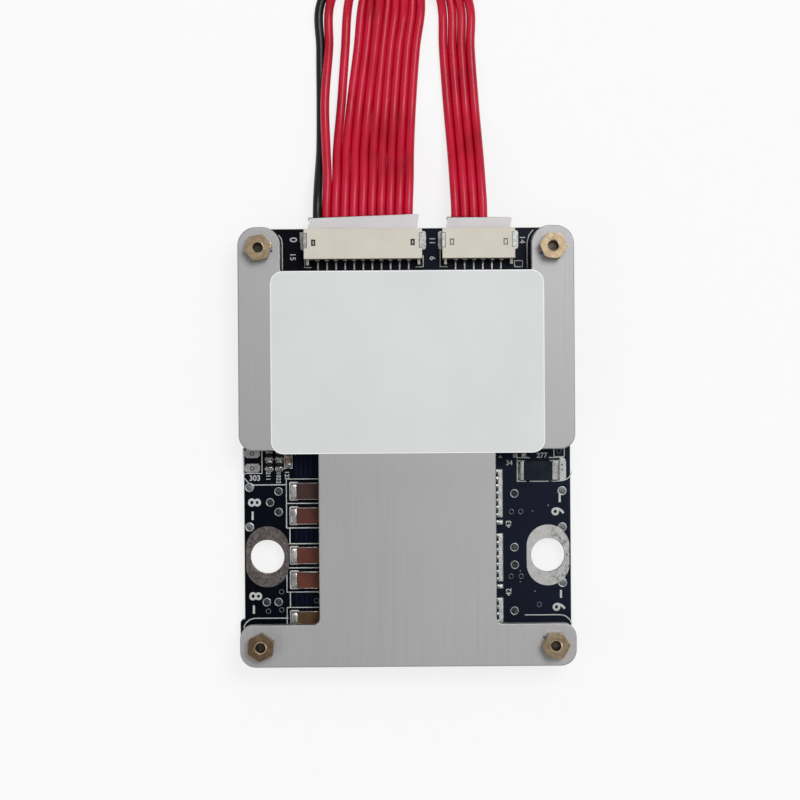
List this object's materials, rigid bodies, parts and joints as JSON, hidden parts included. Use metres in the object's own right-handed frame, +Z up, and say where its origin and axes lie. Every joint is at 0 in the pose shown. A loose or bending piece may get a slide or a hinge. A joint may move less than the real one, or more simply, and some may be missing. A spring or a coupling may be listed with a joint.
{
  "type": "battery management board",
  "caption": "Circuit board under an aluminium heat spreader, with two drilled power terminals, threaded corner posts, and side-entry headers whose sense leads are folded and tied.",
  "frame": {"origin": "on the surface that the board stands on, under the middle of the circuit board", "axes": "+Z up, through the heat spreader; +Y towards the headers and leads; +X across the board, to the right seen from above"},
  "size_m": [0.0553, 0.1925, 0.0104],
  "materials": {
    "solder_mask": "smooth, semi-gloss solder mask",
    "tarnished_tin": "bare metal, tarnished and scratched",
    "tinned_copper": "bare tinned metal, lightly worn",
    "brushed_aluminium": "satin, fine brushing",
    "label_film": "smooth matt film",
    "silicone_pad": "matt",
    "brass": "machined, dull",
    "dark_brass": "machined, darkened",
    "screw_steel": "satin",
    "spacer_metal": "satin",
    "moulding_black": "fine matt moulding",
    "lead_metal": "tinned, bright",
    "shunt_coat": "smooth baked coat",
    "resistor_black": "glazed",
    "capacitor_brown": "fired ceramic",
    "header_nylon": "moulded",
    "plug_nylon": "slightly translucent moulding",
    "contact_metal": "stamped, tinned",
    "red_insulation": "smooth, soft gloss",
    "black_insulation": "smooth, soft gloss",
    "tie_nylon": "moulded",
    "core_metal": "tinned strands"
  },
  "bodies": {
    "root": {"circuit_board": "solder_mask", "terminal_left": "tarnished_tin", "terminal_right": "tinned_copper", "heat_spreader": "brushed_aluminium", "label": "label_film", "thermal_pad": "silicone_pad", "post_top_left": "brass", "post_top_right": "brass", "post_bottom_left": "dark_brass", "post_bottom_right": "brass", "screws": "screw_steel", "spacers": "spacer_metal", "mosfet_1": "moulding_black", "mosfet_2": "moulding_black", "mosfet_3": "moulding_black", "mosfet_4": "moulding_black", "mosfet_5": "moulding_black", "mosfet_6": "moulding_black", "mosfet_leads": "lead_metal", "shunt_1": "shunt_coat", "shunt_2": "shunt_coat", "shunt_3": "shunt_coat", "shunt_4": "shunt_coat", "shunt_5": "shunt_coat", "shunt_6": "shunt_coat", "power_resistor": "resistor_black", "sensor_pads": "tinned_copper", "small_resistors": "resistor_black", "small_capacitors": "capacitor_brown", "monitor_chip": "moulding_black", "control_chip": "moulding_black", "balance_resistors": "resistor_black", "header_left": "header_nylon", "header_right": "header_nylon", "pins_left": "lead_metal", "pins_right": "lead_metal", "solder_tabs": "lead_metal", "plug_left": "plug_nylon", "plug_right": "plug_nylon", "contacts_left": "contact_metal", "contacts_right": "contact_metal", "lead_01": "black_insulation", "lead_02": "red_insulation", "lead_03": "red_insulation", "lead_04": "red_insulation", "lead_05": "red_insulation", "lead_06": "red_insulation", "lead_07": "red_insulation", "lead_08": "red_insulation", "lead_09": "red_insulation", "lead_10": "red_insulation", "lead_11": "red_insulation", "lead_12": "red_insulation", "lead_13": "red_insulation", "lead_14": "red_insulation", "lead_15": "red_insulation", "lead_hank": "red_insulation", "hank_tie": "tie_nylon", "lead_ends": "core_metal"}
  },
  "joints": []
}
